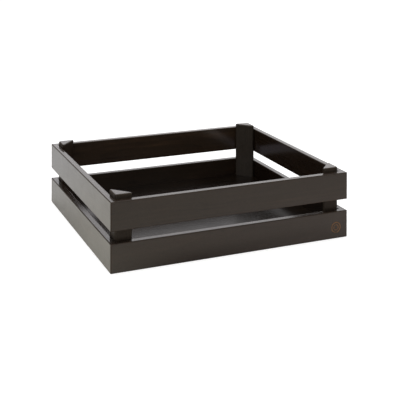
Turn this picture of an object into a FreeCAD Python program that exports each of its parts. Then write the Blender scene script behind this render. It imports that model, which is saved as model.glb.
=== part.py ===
import FreeCAD, Part
import Sketcher
import os
from FreeCAD import Placement, Rotation, Vector

# Stackable slatted display crate in dark-stained wood, open at the top.
#
# A lower and an upper ring of mitred slats, with an open gap between them, form
# the sides.  Four triangular corner posts stand inside the corners on the base
# panel and rise a little above the rim, so the next crate locates over them.
# The base panel is held in grooves in the four lower slats, high enough above
# their lower edge to leave a recess for the posts of the crate below.
#
# Frame: millimetres, +X along the long front, +Y towards the back, +Z up.
# The origin is the centre of the footprint, on the surface the crate rests on.

# ---------------------------------------------------------------- dimensions

DIMENSIONS = [
    # alias, value in mm, meaning
    ("crate_length", 350.0, "outside length, along X"),
    ("crate_depth", 290.0, "outside depth, along Y"),
    ("slat_thick", 9.0, "slat thickness"),
    ("slat_height", 37.5, "slat height"),
    ("slat_gap", 15.5, "open gap between lower and upper slat"),
    ("arris_radius", 1.1, "rounding of the long slat edges"),
    ("corner_ease", 0.8, "set-back of the flat on the outer vertical corner"),
    ("groove_floor", 6.5, "height of the groove above the lower slat's underside"),
    ("groove_height", 4.1, "groove width, panel thickness plus 0.1"),
    ("groove_depth", 4.0, "groove depth into the slat"),
    ("groove_face_overrun", 2.0, "groove cutter beyond the slat's inner face"),
    ("groove_end_overrun", 5.0, "groove cutter beyond each slat end"),
    ("panel_thick", 4.0, "base panel thickness"),
    ("panel_entry", 3.8, "how far the panel enters each groove"),
    ("post_leg", 26.5, "leg of the post's triangular section, to the sharp corner"),
    ("post_back_cut", 2.5, "set-back of the flat on the post's right-angled edge"),
    ("post_edge_radius", 2.2, "rounding of the post's two acute edges"),
    ("post_top_radius", 1.8, "rounding round the post's top"),
    ("post_proud", 6.0, "post height above the upper slats"),
    ("nail_shank", 1.2, "brad shank diameter"),
    ("nail_head", 2.0, "brad head diameter"),
    ("nail_head_depth", 0.8, "brad head height"),
    ("nail_length", 20.0, "brad length, head to point"),
    ("nail_point", 2.0, "length of the brad's point"),
    ("nail_cover", 1.0, "stained filler over the set head, part of the slat"),
    ("nail_inset", 8.0, "brad distance from the inner corner, along the slat"),
    ("nail_low_a", 16.0, "lower brad at a slat's -x end, above its underside"),
    ("nail_high_a", 27.0, "upper brad at a slat's -x end"),
    ("nail_low_b", 21.5, "lower brad at a slat's +x end"),
    ("nail_high_b", 32.0, "upper brad at a slat's +x end"),
]

DERIVED = [
    # alias, formula, meaning
    ("base_top", "groove_floor + panel_thick", "top of the base panel"),
    ("upper_z", "slat_height + slat_gap", "underside of the upper slats"),
    ("rim_z", "upper_z + slat_height", "top of the upper slats"),
    ("post_height", "rim_z + post_proud - base_top", "post height, from the panel up"),
    ("half_ease", "corner_ease / 2", "depth of the mitre's eased tip"),
    ("groove_bottom", "slat_thick - groove_depth", "groove bottom, from the outer face"),
    ("groove_mouth", "slat_thick + groove_face_overrun", "open side of the groove cutter"),
    ("groove_top", "groove_floor + groove_height", "top of the groove"),
    ("head_radius", "nail_head / 2", "brad head radius"),
    ("shank_radius", "nail_shank / 2", "brad shank radius"),
    ("tip_radius", "nail_shank / 12", "radius at the very tip of the brad"),
    # places along a brad, from the slat's inner face
    ("head_start", "nail_cover - slat_thick", "outer end of the head"),
    ("shank_start", "head_start + nail_head_depth", "start of the shank"),
    ("shank_length", "nail_length - nail_head_depth - nail_point", "length of the shank"),
    ("point_start", "shank_start + shank_length", "start of the point"),
    ("post_hole_depth", "point_start + nail_point", "depth of a brad hole in the post"),
]

# measured from the centre line, for slats along the length and along the depth
for run in ("length", "depth"):
    DERIVED += [
        ("half_" + run, "crate_%s / 2" % run, "centre to outer face"),
        ("face_half_" + run, "half_%s - corner_ease" % run, "end of a slat's outer face"),
        ("tip_half_" + run, "half_%s - half_ease" % run, "eased tip of the mitre"),
        ("inner_half_" + run, "half_%s - slat_thick" % run, "centre to inner face"),
        ("nail_half_" + run, "inner_half_%s - nail_inset" % run, "centre to brads"),
        ("panel_half_" + run, "inner_half_%s + panel_entry" % run, "half the base panel"),
        ("groove_cut_" + run, "crate_%s + 2 * groove_end_overrun" % run, "groove cutter"),
    ]

# Brads "a" pass through a slat's -x end, brads "b" through a slat's +x end.
LEVELS = (("lower", "0"), ("upper", "upper_z"))
NAIL_ROWS = {
    letter: ["%s_%s_%s" % (level, height, letter)
             for level, _ in LEVELS for height in ("low", "high")]
    for letter in ("a", "b")
}
for letter in ("a", "b"):
    for level, lift in LEVELS:
        for height in ("low", "high"):
            row_name = "%s_%s_%s" % (level, height, letter)
            DERIVED += [
                ("brad_" + row_name, "nail_%s_%s + %s" % (height, letter, lift),
                 "brad height above the ground"),
                ("hole_" + row_name, "brad_%s - base_top" % row_name,
                 "hole height above the post's foot"),
            ]

TOLERANCE = 1e-6
LONG_EDGE_SHARE = 0.8    # long slat edges exceed this share of the slat's length
ACUTE_EDGE_SHARE = 0.9   # acute post edges lie beyond this share of the leg
LEAST_CUT = 0.5          # mm3 that a pocket has to remove

doc = FreeCAD.newDocument("SlattedCrate")
sheet = doc.addObject("Spreadsheet::Sheet", "Dimensions")
rows = [(alias, str(number), meaning) for alias, number, meaning in DIMENSIONS]
rows += [(alias, "=" + formula, meaning) for alias, formula, meaning in DERIVED]
for row, (alias, content, meaning) in enumerate(rows, start=1):
    sheet.set("A%d" % row, alias)
    sheet.set("B%d" % row, content)
    sheet.set("C%d" % row, meaning)
    sheet.setAlias("B%d" % row, alias)
doc.recompute()


# ------------------------------------------------------------------- helpers

# A size or place is given by its alias, by "-alias", or by "0".

def value(name):
    if name == "0":
        return 0.0
    sign = -1.0 if name.startswith("-") else 1.0
    return sign * float(sheet.get(name.lstrip("-")))


def cell(name):
    """The expression that refers to a named size."""
    sign = "-" if name.startswith("-") else ""
    return "%sDimensions.%s" % (sign, name.lstrip("-"))


def place(obj, position, rotation=None):
    """Set a placement and bind each coordinate that isn't zero."""
    obj.Placement = Placement(Vector(*[value(name) for name in position]),
                              rotation or Rotation())
    for axis, name in zip("xyz", position):
        if name != "0":
            obj.setExpression("Placement.Base." + axis, cell(name))


def turned(degrees):
    return Rotation(Vector(0, 0, 1), degrees)


def new_body(label):
    body = doc.addObject("PartDesign::Body", label)
    body.Label = label
    return body


def new_sketch(body, name, role, offset=None):
    """A sketch on one of its own body's origin planes."""
    sketch = body.newObject("Sketcher::SketchObject", name)
    plane = next(f for f in body.Origin.OriginFeatures if f.Role == role)
    sketch.AttachmentSupport = [(plane, "")]
    sketch.MapMode = "FlatFace"
    if offset is not None:
        sketch.AttachmentOffset = Placement(Vector(0, 0, value(offset)), Rotation())
        sketch.setExpression("AttachmentOffset.Base.z", cell(offset))
    doc.recompute()
    return sketch


def constrain_point(sketch, geometry, end, point):
    """Tie a sketch point to the sketch's origin by its two named coordinates."""
    for kind, name, zero_axis in (("DistanceX", point[0], -2), ("DistanceY", point[1], -1)):
        if name == "0":
            sketch.addConstraint(
                Sketcher.Constraint("PointOnObject", geometry, end, zero_axis))
            continue
        # a negative coordinate is a positive distance from the point to the origin
        if name.startswith("-"):
            ends = (geometry, end, -1, 1)
        else:
            ends = (-1, 1, geometry, end)
        size_name = name.lstrip("-")
        index = sketch.addConstraint(Sketcher.Constraint(kind, *ends, value(size_name)))
        sketch.setExpression("Constraints[%d]" % index, cell(size_name))


def polygon(sketch, points):
    """Closed outline through points of two named coordinates."""
    corners = [Vector(value(x), value(y), 0) for x, y in points]
    count = len(corners)
    for i in range(count):
        sketch.addGeometry(Part.LineSegment(corners[i], corners[(i + 1) % count]), False)
    for i in range(count):
        sketch.addConstraint(Sketcher.Constraint("Coincident", i, 2, (i + 1) % count, 1))
    for i, point in enumerate(points):
        constrain_point(sketch, i, 1, point)
    doc.recompute()


def circles(sketch, diameter, centres):
    for i, (x, y) in enumerate(centres):
        sketch.addGeometry(Part.Circle(Vector(value(x), value(y), 0), Vector(0, 0, 1),
                                       value(diameter) / 2), False)
        index = sketch.addConstraint(Sketcher.Constraint("Diameter", i, value(diameter)))
        sketch.setExpression("Constraints[%d]" % index, cell(diameter))
        constrain_point(sketch, i, 3, (x, y))
    doc.recompute()


def pad(body, sketch, name, length):
    feature = body.newObject("PartDesign::Pad", name)
    feature.Profile = sketch
    feature.Type = "Length"
    feature.setExpression("Length", cell(length))
    doc.recompute()
    return feature


def pocket(body, sketch, name, length, reverse=False, symmetric=False):
    """A pocket that has to take material away."""
    volume_before = body.Shape.Volume
    feature = body.newObject("PartDesign::Pocket", name)
    feature.Profile = sketch
    feature.Type = "Length"
    feature.setExpression("Length", cell(length))
    feature.Reversed = reverse
    if symmetric:
        feature.SideType = "Symmetric"
    doc.recompute()
    if body.Shape.Volume > volume_before - LEAST_CUT:
        raise RuntimeError("%s in %s cuts nothing" % (name, body.Label))


def fillet(body, base, name, keep, radius):
    """Round the edges of base that keep() accepts."""
    edges = ["Edge%d" % i for i, edge in enumerate(base.Shape.Edges, start=1) if keep(edge)]
    if not edges:
        raise RuntimeError("%s in %s has no edges" % (name, body.Label))
    feature = body.newObject("PartDesign::Fillet", name)
    feature.Base = (base, edges)
    feature.setExpression("Radius", cell(radius))
    doc.recompute()
    return feature


# --------------------------------------------------------------------- slats

# A slat in its own frame: outer face on y = 0, inner face on y = slat_thick,
# underside on z = 0, centred along x.  Both ends are mitred at 45 degrees, and
# a small flat on each outer tip makes the eased vertical corner of the crate.

def slat_blank(body, label, run):
    plan = new_sketch(body, label + "_plan", "XY_Plane")
    face_end, tip, inner_end = "face_half_" + run, "tip_half_" + run, "inner_half_" + run
    polygon(plan, [
        ("-" + face_end, "0"),
        (face_end, "0"),
        (tip, "half_ease"),
        (inner_end, "slat_thick"),
        ("-" + inner_end, "slat_thick"),
        ("-" + tip, "half_ease"),
    ])
    blank = pad(body, plan, label + "_blank", "slat_height")

    def is_long(edge):
        first, last = edge.Vertexes[0].Point, edge.Vertexes[1].Point
        return (edge.Length > LONG_EDGE_SHARE * value("crate_" + run)
                and abs(first.y - last.y) < TOLERANCE)

    fillet(body, blank, label + "_arrises", is_long, "arris_radius")


def panel_groove(body, label, run):
    """Groove for the base panel, the whole length of the inner face."""
    section = new_sketch(body, label + "_groove_section", "YZ_Plane")
    polygon(section, [
        ("groove_bottom", "groove_floor"),
        ("groove_mouth", "groove_floor"),
        ("groove_mouth", "groove_top"),
        ("groove_bottom", "groove_top"),
    ])
    pocket(body, section, label + "_groove", "groove_cut_" + run, symmetric=True)


def slat_brad_holes(body, label, run):
    """Head seats and shank holes that stop short of the outer face by the filler."""
    nail_x = "nail_half_" + run
    centres = [
        ("-" + nail_x, "nail_low_a"),
        ("-" + nail_x, "nail_high_a"),
        (nail_x, "nail_low_b"),
        (nail_x, "nail_high_b"),
    ]
    for layout_name, hole_name, diameter, depth in (
            ("_head_layout", "_head_seats", "nail_head", "nail_head_depth"),
            ("_shank_layout", "_shank_holes", "nail_shank", "slat_thick")):
        layout = new_sketch(body, label + layout_name, "XZ_Plane", "-nail_cover")
        circles(layout, diameter, centres)
        pocket(body, layout, label + hole_name, depth)


def slat(label, run, z, turn, x, y):
    body = new_body(label)
    slat_blank(body, label, run)
    if z == "0":
        panel_groove(body, label, run)
    slat_brad_holes(body, label, run)
    place(body, (x, y, z), turned(turn))
    doc.recompute()
    return body


# ---------------------------------------------------------------- base panel

def base_panel():
    """A thin flat board, let into the grooves of the four lower slats."""
    body = new_body("base_panel")
    outline = new_sketch(body, "base_panel_outline", "XY_Plane")
    polygon(outline, [
        ("-panel_half_length", "-panel_half_depth"),
        ("panel_half_length", "-panel_half_depth"),
        ("panel_half_length", "panel_half_depth"),
        ("-panel_half_length", "panel_half_depth"),
    ])
    pad(body, outline, "base_panel_board", "panel_thick")
    place(body, ("0", "0", "groove_floor"))
    doc.recompute()
    return body


# -------------------------------------------------------------- corner posts

# A post in its own frame: the right-angled edge stands on the z axis, its two
# legs lie on y = 0 and x = 0 against two slats, and the long face looks into
# the crate.  The right-angled edge has a flat that clears the glue line.

def post_blank(body, label):
    section = new_sketch(body, label + "_section", "XY_Plane")
    polygon(section, [
        ("post_back_cut", "0"),
        ("post_leg", "0"),
        ("0", "post_leg"),
        ("0", "post_back_cut"),
    ])
    blank = pad(body, section, label + "_blank", "post_height")

    def is_acute(edge):
        first, last = edge.Vertexes[0].Point, edge.Vertexes[1].Point
        upright = abs(first.x - last.x) < TOLERANCE and abs(first.y - last.y) < TOLERANCE
        return upright and max(first.x, first.y) > ACUTE_EDGE_SHARE * value("post_leg")

    def is_top(edge):
        return all(abs(vertex.Point.z - value("post_height")) < TOLERANCE
                   for vertex in edge.Vertexes)

    rounded = fillet(body, blank, label + "_edges", is_acute, "post_edge_radius")
    fillet(body, rounded, label + "_crown", is_top, "post_top_radius")


def corner_post(label, x, y, turn):
    body = new_body(label)
    post_blank(body, label)
    # brad holes from both legs
    for letter, role, reverse in (("a", "XZ_Plane", False), ("b", "YZ_Plane", True)):
        layout = new_sketch(body, "%s_holes_%s_layout" % (label, letter), role)
        circles(layout, "nail_shank",
                [("nail_inset", "hole_" + name) for name in NAIL_ROWS[letter]])
        pocket(body, layout, "%s_holes_%s" % (label, letter), "post_hole_depth",
               reverse=reverse)
    place(body, (x, y, "base_top"), turned(turn))
    doc.recompute()
    return body


# --------------------------------------------------------------- corner brads

# Eight steel brads hold each corner: two through each of the four slat ends
# that meet there, into the post.  Each brad is its own solid, in the post's
# own frame with z from the ground.

BRAD_PIECES = (
    # name, primitive, start along the brad, height, radii
    ("head", "Part::Cylinder", "head_start", "nail_head_depth",
     {"Radius": "head_radius"}),
    ("shank", "Part::Cylinder", "shank_start", "shank_length",
     {"Radius": "shank_radius"}),
    ("point", "Part::Cone", "point_start", "nail_point",
     {"Radius1": "shank_radius", "Radius2": "tip_radius"}),
)


def brad(name, letter, z):
    """The pieces of one brad along +y (letter a) or +x (letter b)."""
    pieces = []
    for piece_name, primitive, start, height, radii in BRAD_PIECES:
        piece = doc.addObject(primitive, "%s_%s" % (name, piece_name))
        for radius_property, radius in radii.items():
            piece.setExpression(radius_property, cell(radius))
        piece.setExpression("Height", cell(height))
        if letter == "a":
            place(piece, ("nail_inset", start, z), Rotation(Vector(1, 0, 0), -90))
        else:
            place(piece, (start, "nail_inset", z), Rotation(Vector(0, 1, 0), 90))
        pieces.append(piece)
    return pieces


def corner_brads(corner, x, y, turn):
    pieces = []
    for letter in ("a", "b"):
        for name in NAIL_ROWS[letter]:
            pieces += brad("%s_%s" % (corner, name), letter, "brad_" + name)
    doc.recompute()
    group = doc.addObject("Part::MultiFuse", corner + "_brads")
    group.Label = corner + "_brads"
    group.Shapes = pieces
    group.Refine = True
    doc.recompute()
    place(group, (x, y, "0"), turned(turn))
    doc.recompute()
    return group


# ------------------------------------------------------------------ assembly

SIDES = (
    # side, direction of its slats, turn about z in degrees, x, y of the outer face
    ("front", "length", 0, "0", "-half_depth"),
    ("right", "depth", 90, "half_length", "0"),
    ("rear", "length", 180, "0", "half_depth"),
    ("left", "depth", 270, "-half_length", "0"),
)

CORNERS = (
    # corner, x, y of the inner corner, turn about z in degrees
    ("front_left", "-inner_half_length", "-inner_half_depth", 0),
    ("front_right", "inner_half_length", "-inner_half_depth", 90),
    ("rear_right", "inner_half_length", "inner_half_depth", 180),
    ("rear_left", "-inner_half_length", "inner_half_depth", 270),
)

parts = []
for side, run, turn, x, y in SIDES:
    for level, z in LEVELS:
        parts.append(slat("%s_%s_slat" % (side, level), run, z, turn, x, y))
parts.append(base_panel())
for corner, x, y, turn in CORNERS:
    parts.append(corner_post(corner + "_post", x, y, turn))
for corner, x, y, turn in CORNERS:
    parts.append(corner_brads(corner, x, y, turn))


# -------------------------------------------------------------- check, write

doc.recompute()

for obj in doc.Objects:
    if "Invalid" in obj.State or "Error" in obj.State:
        raise RuntimeError("%s failed: %s" % (obj.Label, obj.State))
for part in parts:
    if part.Shape.isNull() or not part.Shape.isValid():
        raise RuntimeError("%s has no valid shape" % part.Label)
    expected = 8 if part.Label.endswith("_brads") else 1
    if len(part.Shape.Solids) != expected:
        raise RuntimeError("%s has %d solids, not %d" % (
            part.Label, len(part.Shape.Solids), expected))

os.makedirs("parts", exist_ok=True)
for part in parts:
    part.Shape.exportStep("parts/%s.step" % part.Label)
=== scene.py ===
import math

import bmesh
import bpy
from mathutils import Matrix, Vector


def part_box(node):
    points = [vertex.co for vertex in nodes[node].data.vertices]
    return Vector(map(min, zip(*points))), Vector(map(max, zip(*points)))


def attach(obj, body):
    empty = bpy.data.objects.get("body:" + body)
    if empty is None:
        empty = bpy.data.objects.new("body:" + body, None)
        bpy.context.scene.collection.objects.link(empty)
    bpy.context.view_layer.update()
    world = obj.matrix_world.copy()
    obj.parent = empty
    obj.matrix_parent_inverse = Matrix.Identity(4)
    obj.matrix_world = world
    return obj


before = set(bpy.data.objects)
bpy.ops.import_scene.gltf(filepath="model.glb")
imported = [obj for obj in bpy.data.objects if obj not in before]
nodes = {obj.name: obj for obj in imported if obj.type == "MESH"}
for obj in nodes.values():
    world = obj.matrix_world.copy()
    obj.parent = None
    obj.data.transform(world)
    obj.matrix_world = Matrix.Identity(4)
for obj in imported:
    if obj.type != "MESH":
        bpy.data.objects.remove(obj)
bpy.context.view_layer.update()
scene = bpy.context.scene
scene.view_settings.view_transform = "Standard"

MM = 0.001
POST_CORNER = (166.0 * MM, 136.0 * MM)  # the posts' right angles, in the slats' inner corners
POST_LEG = 26.5 * MM


# ---------------------------------------------------------------- node helper
class Graph:
    """A material's or world's node tree, with short calls that return sockets."""

    def __init__(self, owner):
        owner.use_nodes = True
        self.tree = owner.node_tree
        self.tree.nodes.clear()

    def put(self, socket, value):
        if isinstance(value, bpy.types.NodeSocket):
            self.tree.links.new(value, socket)
        elif isinstance(value, tuple) and len(value) == 3 and len(socket.default_value) == 4:
            socket.default_value = (*value, 1.0)
        else:
            socket.default_value = value

    def add(self, kind, inputs=None, **settings):
        node = self.tree.nodes.new(kind)
        for key, value in settings.items():
            setattr(node, key, value)
        for key, value in (inputs or {}).items():
            self.put(node.inputs[key], value)
        return node

    def calc(self, operation, a, b=0.0, c=0.0, clamp=False):
        node = self.add("ShaderNodeMath", operation=operation, use_clamp=clamp)
        for socket, value in zip(node.inputs, (a, b, c)):
            self.put(socket, value)
        return node.outputs[0]

    def smooth(self, value, low, high, to_low=0.0, to_high=1.0):
        """value from low to high, as a smooth step from to_low to to_high."""
        node = self.add(
            "ShaderNodeMapRange",
            {"Value": value, "From Min": low, "From Max": high, "To Min": to_low, "To Max": to_high},
            interpolation_type="SMOOTHSTEP",
        )
        return node.outputs["Result"]

    def blend(self, factor, a, b, mode="MIX"):
        node = self.add("ShaderNodeMix", data_type="RGBA", blend_type=mode, clamp_factor=True)
        for index, value in ((0, factor), (6, a), (7, b)):
            self.put(node.inputs[index], value)
        return node.outputs[2]

    def split(self, vector):
        return self.add("ShaderNodeSeparateXYZ", {"Vector": vector}).outputs

    def join(self, x, y, z):
        return self.add("ShaderNodeCombineXYZ", {"X": x, "Y": y, "Z": z}).outputs[0]

    def noise(self, vector, scale=1.0, detail=2.0, roughness=0.5, distortion=0.0):
        node = self.add(
            "ShaderNodeTexNoise",
            {"Vector": vector, "Scale": scale, "Detail": detail, "Roughness": roughness, "Distortion": distortion},
        )
        return node.outputs[0]


# ---------------------------------------------------------------- stained wood
def edge_distance_box(g, x, y, z, node):
    """Distance from a board's surface to its nearest arris: the middle one of the three distances to its box."""
    low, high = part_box(node)
    d = []
    for value, a, b in zip((x, y, z), low, high):
        d.append(g.calc("MINIMUM", g.calc("SUBTRACT", value, a), g.calc("SUBTRACT", b, value)))
    smaller, larger = g.calc("MINIMUM", d[0], d[1]), g.calc("MAXIMUM", d[0], d[1])
    return g.calc("MAXIMUM", smaller, g.calc("MINIMUM", larger, d[2]))


def edge_distance_post(g, x, y, z, node):
    """The same for a post: the second smallest distance to its two legs' faces, its long face and its top."""
    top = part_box(node)[1].z
    a = g.calc("SUBTRACT", POST_CORNER[0], g.calc("ABSOLUTE", x))
    b = g.calc("SUBTRACT", POST_CORNER[1], g.calc("ABSOLUTE", y))
    c = g.calc("MULTIPLY", g.calc("SUBTRACT", POST_LEG, g.calc("ADD", a, b)), math.sqrt(0.5))
    d = g.calc("SUBTRACT", top, z)
    first = g.calc("MAXIMUM", g.calc("MINIMUM", a, b), g.calc("MINIMUM", c, d))
    second = g.calc("MINIMUM", g.calc("MAXIMUM", a, b), g.calc("MAXIMUM", c, d))
    return g.calc("MINIMUM", first, second)


def stained_wood(
    name, grain, seed, edge=None, node=None, pith=(0.012, -0.07), tone=1.0, contrast=1.0,
    film=0.92, side_film=None, under=0.30, matt=0.0, warmth=0.0, thin_end=None
):
    """Close-grained hardwood, stained dark brown and sprayed with a satin lacquer.

    grain is the axis the fibres run along, and pith is where the tree's centre was,
    across the board's wide and thin directions. tone scales the stain's lightness and
    contrast its figure, and warmth turns it towards red. On some boards tone and warmth
    also carry painted shade and painted light, as noted where those boards are listed.
    film is how much lacquer lies on the wood, side_film how much is left on upright faces
    that soaked it up, under is the sheen of the wood below the lacquer, and matt makes
    both duller. thin_end, a place along X and a share, says where and how far the
    lacquer thins out.
    """
    material = bpy.data.materials.new(name)
    g = Graph(material)
    coords = g.add("ShaderNodeTexCoord").outputs["Object"]
    x, y, z = g.split(coords)
    along, wide, thin = {"X": (x, z, y), "Y": (y, z, x), "Z": (z, x, y), "PANEL": (x, y, z)}[grain]
    along = g.calc("ADD", along, 0.731 * seed)
    wide = g.calc("ADD", wide, 0.417 * seed)
    thin = g.calc("ADD", thin, 0.293 * seed)

    def stretched(a, w, t):
        return g.join(g.calc("MULTIPLY", along, a), g.calc("MULTIPLY", wide, w), g.calc("MULTIPLY", thin, t))

    # Growth rings: distance from the pith, wandering slowly along the grain.
    wander = g.calc("SUBTRACT", g.noise(stretched(5.0, 18.0, 18.0), detail=3.0), 0.5)
    off_wide = g.calc("SUBTRACT", wide, 0.417 * seed + pith[0])
    off_thin = g.calc("SUBTRACT", thin, 0.293 * seed + pith[1])
    radius = g.calc("SQRT", g.calc("ADD", g.calc("MULTIPLY", off_wide, off_wide), g.calc("MULTIPLY", off_thin, off_thin)))
    radius = g.calc("ADD", radius, g.calc("MULTIPLY", wander, 0.011))
    ring = g.calc("FRACT", g.calc("MULTIPLY", radius, 410.0))
    late = g.calc("MULTIPLY", g.smooth(ring, 0.25, 0.92), g.smooth(ring, 1.0, 0.94))

    # Fibres, short darker rays and pores, and slow patches where the stain took more or less.
    fibre = g.noise(stretched(38.0, 1500.0, 1500.0), detail=3.0, roughness=0.6)
    streak = g.noise(stretched(9.0, 210.0, 210.0), detail=4.0, roughness=0.55)
    pores = g.smooth(g.noise(stretched(260.0, 3100.0, 3100.0), detail=1.0), 0.60, 0.72)
    rays = g.smooth(g.noise(stretched(330.0, 1250.0, 1250.0), detail=0.0), 0.63, 0.74)
    patches = g.noise(stretched(7.0, 26.0, 26.0), detail=3.0, roughness=0.55, distortion=0.6)

    amount = g.calc("MULTIPLY", patches, 0.62)
    amount = g.calc("MULTIPLY_ADD", streak, 0.42, amount)
    amount = g.calc("MULTIPLY_ADD", fibre, 0.20, amount)
    amount = g.calc("MULTIPLY_ADD", late, -0.13, amount)
    amount = g.calc("ADD", amount, 0.02)
    amount = g.calc("MULTIPLY_ADD", g.calc("SUBTRACT", amount, 0.60), contrast, 0.60)
    ramp = g.add("ShaderNodeValToRGB", {"Fac": amount})
    stops = ramp.color_ramp
    green, blue = tone * (1.0 - 0.16 * warmth), tone * (1.0 - 0.36 * warmth)
    stops.interpolation = "EASE"
    stops.elements[0].position, stops.elements[0].color = 0.32, (0.0070 * tone, 0.0040 * green, 0.0023 * blue, 1)
    stops.elements[1].position, stops.elements[1].color = 0.92, (0.0450 * tone, 0.0262 * green, 0.0142 * blue, 1)
    middle = stops.elements.new(0.60)
    middle.color = (0.0186 * tone, 0.0112 * green, 0.0066 * blue, 1)
    colour = g.blend(g.calc("MULTIPLY", pores, 0.55), ramp.outputs["Color"], (0.0035, 0.0022, 0.0016))
    colour = g.blend(g.calc("MULTIPLY", rays, 0.35), colour, (0.0055, 0.0034, 0.0024))

    # Handling: smudges in the lacquer everywhere, and arrises rubbed thin here and there.
    smudge = g.noise(coords, scale=34.0, detail=4.0, roughness=0.62, distortion=0.8)
    rough = g.calc("MULTIPLY_ADD", smudge, 0.12, 0.365 + matt)
    rough = g.calc("MULTIPLY_ADD", fibre, 0.10, rough)
    upward = g.split(g.add("ShaderNodeNewGeometry").outputs["Normal"])[2]
    if side_film is None:
        cover = film
        gleam = g.smooth(upward, 0.35, 0.8, under, 0.3 * under)
    else:
        cover = g.smooth(upward, 0.35, 0.8, side_film, film)
        gleam = g.smooth(upward, 0.35, 0.8, 0.3 * under, 0.5 * under)
    if thin_end is not None:
        cover = g.smooth(x, thin_end[0], thin_end[0] + 0.07, film, film * thin_end[1])
    coat = g.calc("MULTIPLY_ADD", smudge, -0.16, g.calc("ADD", cover, 0.08))
    coat = g.calc("MAXIMUM", coat, 0.0)
    coat_rough = g.calc("MULTIPLY_ADD", smudge, 0.08, 0.10 + matt)
    if edge is not None:
        distance = edge(g, x, y, z, node)
        near = g.smooth(distance, 0.0019, 0.0004)
        broken = g.smooth(g.noise(coords, scale=210.0, detail=4.0, roughness=0.7), 0.44, 0.66)
        wear = g.calc("MULTIPLY", near, g.calc("MULTIPLY_ADD", broken, 0.75, 0.18), clamp=True)
        colour = g.blend(g.calc("MULTIPLY", wear, 0.60), colour, (0.0500, 0.0300, 0.0180))
        rough = g.calc("MULTIPLY_ADD", wear, 0.10, rough)
        coat = g.calc("MULTIPLY_ADD", wear, -0.10, g.calc("MULTIPLY_ADD", near, -0.55, coat))
        coat = g.calc("MAXIMUM", coat, 0.0)

    # Relief: fibres and pores telegraph a little through the lacquer.
    height = g.calc("MULTIPLY", fibre, 0.35)
    height = g.calc("MULTIPLY_ADD", streak, 0.35, height)
    height = g.calc("MULTIPLY_ADD", pores, -0.9, height)
    bump = g.add("ShaderNodeBump", {"Height": height, "Strength": 0.22, "Distance": 0.00006})
    orange_peel = g.calc("MULTIPLY_ADD", g.noise(coords, scale=420.0, detail=2.0), 0.25, g.calc("MULTIPLY", streak, 0.8))
    film_bump = g.add("ShaderNodeBump", {"Height": orange_peel, "Strength": 0.04, "Distance": 0.00010})

    surface = g.add(
        "ShaderNodeBsdfPrincipled",
        {
            "Base Color": colour,
            "Roughness": rough,
            "IOR": 1.48,
            "Specular IOR Level": gleam,
            "Coat Weight": coat,
            "Coat Roughness": coat_rough,
            "Coat IOR": 1.48,
            "Normal": bump.outputs[0],
            "Coat Normal": film_bump.outputs[0],
        },
    )
    g.add("ShaderNodeOutputMaterial", {"Surface": surface.outputs[0]})
    return material


def plain_steel(name):
    """Drawn wire: fine lines along the shank, with dull oxide patches."""
    material = bpy.data.materials.new(name)
    g = Graph(material)
    coords = g.add("ShaderNodeTexCoord").outputs["Object"]
    x, y, z = g.split(coords)
    lines = g.noise(g.join(g.calc("MULTIPLY", x, 900.0), g.calc("MULTIPLY", y, 900.0), g.calc("MULTIPLY", z, 9000.0)), detail=3.0)
    oxide = g.smooth(g.noise(coords, scale=420.0, detail=5.0, roughness=0.65), 0.42, 0.72)
    colour = g.blend(lines, (0.40, 0.40, 0.41), (0.60, 0.59, 0.58))
    colour = g.blend(oxide, colour, (0.22, 0.19, 0.17))
    rough = g.calc("MULTIPLY_ADD", oxide, 0.25, g.calc("MULTIPLY_ADD", lines, 0.12, 0.27))
    bump = g.add("ShaderNodeBump", {"Height": g.calc("MULTIPLY_ADD", oxide, 0.6, lines), "Strength": 0.3, "Distance": 0.00003})
    surface = g.add(
        "ShaderNodeBsdfPrincipled",
        {"Base Color": colour, "Metallic": 1.0, "Roughness": rough, "Normal": bump.outputs[0]},
    )
    g.add("ShaderNodeOutputMaterial", {"Surface": surface.outputs[0]})
    return material


def dress(node, material):
    mesh = nodes[node].data
    for index in range(len(mesh.materials)):
        mesh.materials[index] = material
    if not len(mesh.materials):
        mesh.materials.append(material)


SLATS = {
    # node: (grain, seed, pith across the width and the thickness, tone, contrast, warmth, under, matt)
    "front_lower_slat": ("X", 1.3, (0.021, -0.215), 1.00, 0.62, 0.0, 0.30, 0.0),
    "front_upper_slat": ("X", 2.7, (0.083, -0.190), 1.00, 0.62, 0.0, 0.30, 0.0),
    # The rear slats' tones are partly painted: the lower one is slightly darker as painted shade inside the crate,
    # and the upper one is lighter as painted light on its inner face.
    "rear_lower_slat": ("X", 4.1, (0.012, 0.075), 0.95, 0.70, 0.3, 0.20, 0.0),
    "rear_upper_slat": ("X", 5.6, (0.066, 0.065), 1.45, 0.90, 0.3, 0.20, 0.0),
    "left_lower_slat": ("Y", 7.2, (0.024, -0.235), 1.00, 0.62, 0.0, 0.30, 0.02),
    "left_upper_slat": ("Y", 8.9, (0.060, -0.250), 1.00, 0.62, 0.0, 0.30, 0.0),
    # The right slats' low tone and red warmth are painted shade: they darken both boards to stand in for the shade on
    # their inner faces.
    "right_lower_slat": ("Y", 10.4, (0.016, 0.110), 0.45, 0.60, 0.8, 0.06, 0.0),
    "right_upper_slat": ("Y", 12.1, (0.078, 0.105), 0.65, 0.70, 1.0, 0.08, 0.0),
}
for node, (grain, seed, pith, tone, contrast, warmth, under, matt) in SLATS.items():
    wood = stained_wood(
        "stained_" + node, grain, seed, edge_distance_box, node, pith, tone, contrast,
        under=under, matt=matt, warmth=warmth
    )
    dress(node, wood)
POSTS = {
    # corner: (seed, tone, warmth, film on the upright faces)
    "front_left": (14.0, 1.85, -1.8, 0.18),
    "front_right": (15.7, 1.80, -1.7, 0.20),
    "rear_right": (17.4, 1.72, -1.9, 0.80),
    "rear_left": (19.1, 1.15, 0.2, 0.30),
}
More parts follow.
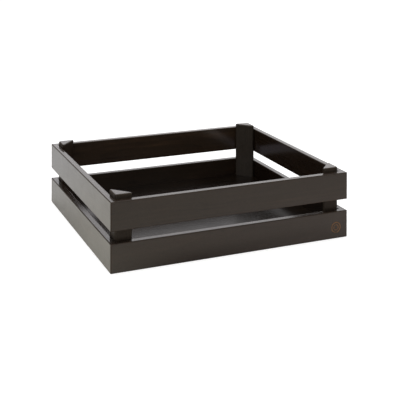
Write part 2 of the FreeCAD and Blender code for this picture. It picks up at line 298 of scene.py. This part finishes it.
for corner, (seed, tone, warmth, side_film) in POSTS.items():
    node = corner + "_post"
    low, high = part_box(node)
    side = (1 if low.x > 0 else -1, 1 if low.y > 0 else -1)
    pith = (side[0] * 0.190, side[1] * 0.118)
    wood = stained_wood(
        "stained_" + node, "Z", seed, edge_distance_post, node, pith, tone, 0.45,
        film=0.80, side_film=side_film, matt=0.03, warmth=warmth
    )
    dress(node, wood)
# The panel's low tone is partly its own darker board and partly painted shade for the inside of the crate.
board = stained_wood(
    "stained_base_panel", "PANEL", 21.5, edge_distance_box, "base_panel", (0.03, -0.16), 0.36, 1.25,
    film=0.72, under=0.06, matt=0.05, thin_end=(0.052, 0.40)
)
dress("base_panel", board)
steel = plain_steel("drawn_steel_wire")
for corner in ("front_left", "front_right", "rear_right", "rear_left"):
    dress(corner + "_brads", steel)


# ---------------------------------------------------------------- plain mark on the lower front slat
def gilt(name):
    """Dull brass-brown foil, worn through in places."""
    material = bpy.data.materials.new(name)
    g = Graph(material)
    coords = g.add("ShaderNodeTexCoord").outputs["Object"]
    worn = g.smooth(g.noise(coords, scale=700.0, detail=4.0, roughness=0.7), 0.46, 0.66)
    tone = g.noise(coords, scale=300.0, detail=2.0)
    colour = g.blend(tone, (0.150, 0.075, 0.030), (0.240, 0.130, 0.054))
    colour = g.blend(worn, colour, (0.040, 0.024, 0.014))
    rough = g.calc("MULTIPLY_ADD", worn, 0.2, 0.38)
    metal = g.calc("MULTIPLY_ADD", worn, -0.4, 0.55)
    bump = g.add("ShaderNodeBump", {"Height": worn, "Strength": 0.4, "Distance": 0.00004})
    surface = g.add(
        "ShaderNodeBsdfPrincipled",
        {"Base Color": colour, "Metallic": metal, "Roughness": rough, "Normal": bump.outputs[0]},
    )
    g.add("ShaderNodeOutputMaterial", {"Surface": surface.outputs[0]})
    return material


def swept_ring(mesh, centre, radius, width, height, sides, back, spokes=6):
    """Adds a flat ring on the slat's face, with a softly crowned section. It stands off along -Y."""
    section = []
    for k in range(spokes + 1):
        t = k / spokes
        section.append((width * (t - 0.5), height * (1 - (2 * t - 1) ** 4)))
    rows = []
    for s in range(sides):
        angle = 2 * math.pi * s / sides
        row = []
        for across, out in section:
            r = radius + across
            row.append(mesh.verts.new((centre[0] + r * math.cos(angle), back - out, centre[1] + r * math.sin(angle))))
        for across in (width / 2, -width / 2):
            r = radius + across
            row.append(mesh.verts.new((centre[0] + r * math.cos(angle), back + 0.00015, centre[1] + r * math.sin(angle))))
        rows.append(row)
    for s in range(sides):
        here, there = rows[s], rows[(s + 1) % sides]
        for k in range(len(here)):
            m = (k + 1) % len(here)
            mesh.faces.new((here[k], here[m], there[m], there[k]))


def make_mark():
    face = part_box("front_lower_slat")[0].y
    centre = (0.1567, 0.0154)
    bm = bmesh.new()
    swept_ring(bm, centre, 0.0069, 0.00150, 0.00012, 72, face)
    swept_ring(bm, centre, 0.0036, 0.00135, 0.00012, 48, face)
    bmesh.ops.recalc_face_normals(bm, faces=bm.faces)
    mesh = bpy.data.meshes.new("plain_mark")
    bm.to_mesh(mesh)
    bm.free()
    mark = bpy.data.objects.new("plain_mark", mesh)
    scene.collection.objects.link(mark)
    mesh.materials.append(gilt("dull_gilt_foil"))
    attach(mark, "root")
    return mark


make_mark()


# ---------------------------------------------------------------- floor
def make_floor():
    material = bpy.data.materials.new("pale_floor")
    g = Graph(material)
    coords = g.add("ShaderNodeTexCoord").outputs["Object"]
    x, y, z = g.split(coords)
    seen = g.add("ShaderNodeLightPath").outputs["Is Camera Ray"]
    # Painted light and shade, seen only in reflections: the floor's colour and glow are painted bright beside
    # the crate on the left, dim behind it and in between in front, with a little painted light kept at the foot
    # of the front slat, where the crate would shade it.
    left = g.smooth(x, -0.04, -0.20)
    deep = g.smooth(y, -0.10, 0.40)
    beside = g.blend(deep, (0.57, 0.555, 0.50), (0.54, 0.540, 0.54))
    behind = g.blend(left, (0.17, 0.160, 0.185), beside)
    lit = g.calc("MULTIPLY", left, g.smooth(y, -0.22, -0.12))
    lit = g.calc("MULTIPLY", lit, g.smooth(x, -0.205, -0.235, 0.80, 0.92))
    lit = g.calc("MULTIPLY", lit, g.smooth(y, 0.05, -0.06, 1.0, 1.25))
    lit = g.blend(lit, (0.0, 0.0, 0.0), g.blend(deep, (0.40, 0.390, 0.35), (0.40, 0.396, 0.394)))
    foot = g.calc("MULTIPLY", g.smooth(y, -0.185, -0.150), g.smooth(y, -0.134, -0.142))
    foot = g.calc("MULTIPLY", foot, g.smooth(x, -0.10, 0.14))
    lit = g.blend(1.0, lit, g.blend(foot, (0.0, 0.0, 0.0), (0.22, 0.205, 0.19)), mode="ADD")
    across = g.smooth(x, -0.25, 0.15)
    near = g.blend(across, (0.75, 0.690, 0.61), (0.75, 0.670, 0.62))
    far = g.blend(across, (0.53, 0.500, 0.445), (0.62, 0.570, 0.52))
    front = g.blend(g.smooth(y, -0.20, -0.34), near, far)
    mirrored = g.blend(g.smooth(y, -0.10, -0.20), behind, front)
    colour = g.blend(seen, mirrored, (0.50, 0.50, 0.50))
    diffuse = g.add("ShaderNodeBsdfDiffuse", {"Color": colour, "Roughness": 0.0})
    glow = g.add("ShaderNodeEmission", {"Color": g.blend(seen, lit, (0.74, 0.74, 0.74)), "Strength": 1.0})
    surface = g.add("ShaderNodeAddShader")
    g.put(surface.inputs[0], diffuse.outputs[0])
    g.put(surface.inputs[1], glow.outputs[0])
    g.add("ShaderNodeOutputMaterial", {"Surface": surface.outputs[0]})
    bm = bmesh.new()
    corners = [bm.verts.new((sx * 9.0, sy * 9.0, -0.0003)) for sx, sy in ((-1, -1), (1, -1), (1, 1), (-1, 1))]
    bm.faces.new(corners)
    mesh = bpy.data.meshes.new("floor")
    bm.to_mesh(mesh)
    bm.free()
    mesh.materials.append(material)
    floor = bpy.data.objects.new("floor", mesh)
    scene.collection.objects.link(floor)


make_floor()


# ---------------------------------------------------------------- light
def make_world():
    world = bpy.data.worlds.new("studio")
    scene.world = world
    g = Graph(world)
    direction = g.add("ShaderNodeTexCoord").outputs["Generated"]
    x, y, z = g.split(direction)
    # A broad bright panel stands behind the crate, a little to the right. The rest of the room is dim.
    panel = g.calc("MULTIPLY", g.smooth(y, 0.30, 0.90), g.smooth(x, -0.14, 0.16))
    room = g.blend(g.smooth(z, 0.0, 0.9), (0.44, 0.42, 0.39), (0.62, 0.61, 0.60))
    bright = g.blend(g.smooth(x, 0.34, 0.52), (1.28, 1.25, 1.27), (1.42, 1.39, 1.40))
    colour = g.blend(panel, room, bright)
    seen = g.add("ShaderNodeLightPath").outputs["Is Camera Ray"]
    colour = g.blend(seen, colour, (1.0, 1.0, 1.0))
    back = g.add("ShaderNodeBackground", {"Color": colour, "Strength": 1.0})
    g.add("ShaderNodeOutputWorld", {"Surface": back.outputs[0]})


def soft_box(name, place, aim, size, power, colour=(1.0, 1.0, 1.0)):
    light = bpy.data.lights.new(name, "AREA")
    light.shape = "RECTANGLE"
    light.size, light.size_y = size
    light.energy = power
    light.color = colour
    lamp = bpy.data.objects.new(name, light)
    scene.collection.objects.link(lamp)
    lamp.location = place
    lamp.rotation_mode = "QUATERNION"
    lamp.rotation_quaternion = (Vector(aim) - Vector(place)).to_track_quat("-Z", "Y")
    lamp.visible_camera = False
    return lamp


make_world()
soft_box("top_box", (-0.2, 0.1, 1.6), (0, 0, 0), (1.6, 1.4), 14.0)
soft_box("front_box", (-1.2, -0.58, 0.51), (0.15, 0.12, 0.03), (0.5, 0.36), 0.9)
soft_box("side_box", (1.7, 0.25, 0.5), (0, 0, 0.05), (1.2, 0.8), 4.5)


# ---------------------------------------------------------------- camera
def make_camera():
    """A nearly level camera with a shifted lens, so that the crate's uprights stay parallel.

    The shift belongs to this place only. When the camera is moved elsewhere, the two
    drivers let it go to zero, so that every other view looks straight along its axis.
    """
    azimuth, elevation, roll = math.radians(-21.34260), math.radians(0.49953), math.radians(0.13296)
    focal, centre_x, centre_y = 856.931, 150.760, -81.600  # in units of a 400-wide picture
    unit = 0.35
    back = Vector(
        (math.sin(azimuth) * math.cos(elevation), -math.cos(azimuth) * math.cos(elevation), math.sin(elevation))
    )
    forward = -back
    right = forward.cross(Vector((0, 0, 1))).normalized()
    up = right.cross(forward)
    c, s = math.cos(roll), math.sin(roll)
    right, up = c * right + s * up, -s * right + c * up
    place = Vector((0, 0, 0.1)) + back * 3.6393624 + right * -0.1708091 + (-up) * -1.1726394
    place = place * unit

    data = bpy.data.cameras.new("camera")
    data.sensor_fit = "HORIZONTAL"
    data.sensor_width = 36.0
    data.lens = focal / 400.0 * 36.0
    data.clip_start, data.clip_end = 0.01, 60.0
    camera = bpy.data.objects.new("camera", data)
    scene.collection.objects.link(camera)
    scene.camera = camera
    rotation = Matrix((right, up, back)).transposed()
    camera.rotation_mode = "QUATERNION"
    camera.rotation_quaternion = rotation.to_quaternion()
    camera.location = place

    station = bpy.data.objects.new("camera_station", None)
    scene.collection.objects.link(station)
    station.location = place
    for name, value in (("shift_x", (200.0 - centre_x) / 400.0), ("shift_y", (centre_y - 200.0) / 400.0)):
        curve = data.driver_add(name)
        while curve.modifiers:
            curve.modifiers.remove(curve.modifiers[0])
        curve.driver.type = "SUM"
        away = curve.driver.variables.new()
        away.type = "LOC_DIFF"
        away.targets[0].id, away.targets[1].id = camera, station
        line = curve.modifiers.new("GENERATOR")
        line.poly_order = 1
        line.coefficients = (value, -value / 0.004)
        limit = curve.modifiers.new("LIMITS")
        limit.use_min_y = limit.use_max_y = True
        limit.min_y, limit.max_y = min(0.0, value), max(0.0, value)


make_camera()
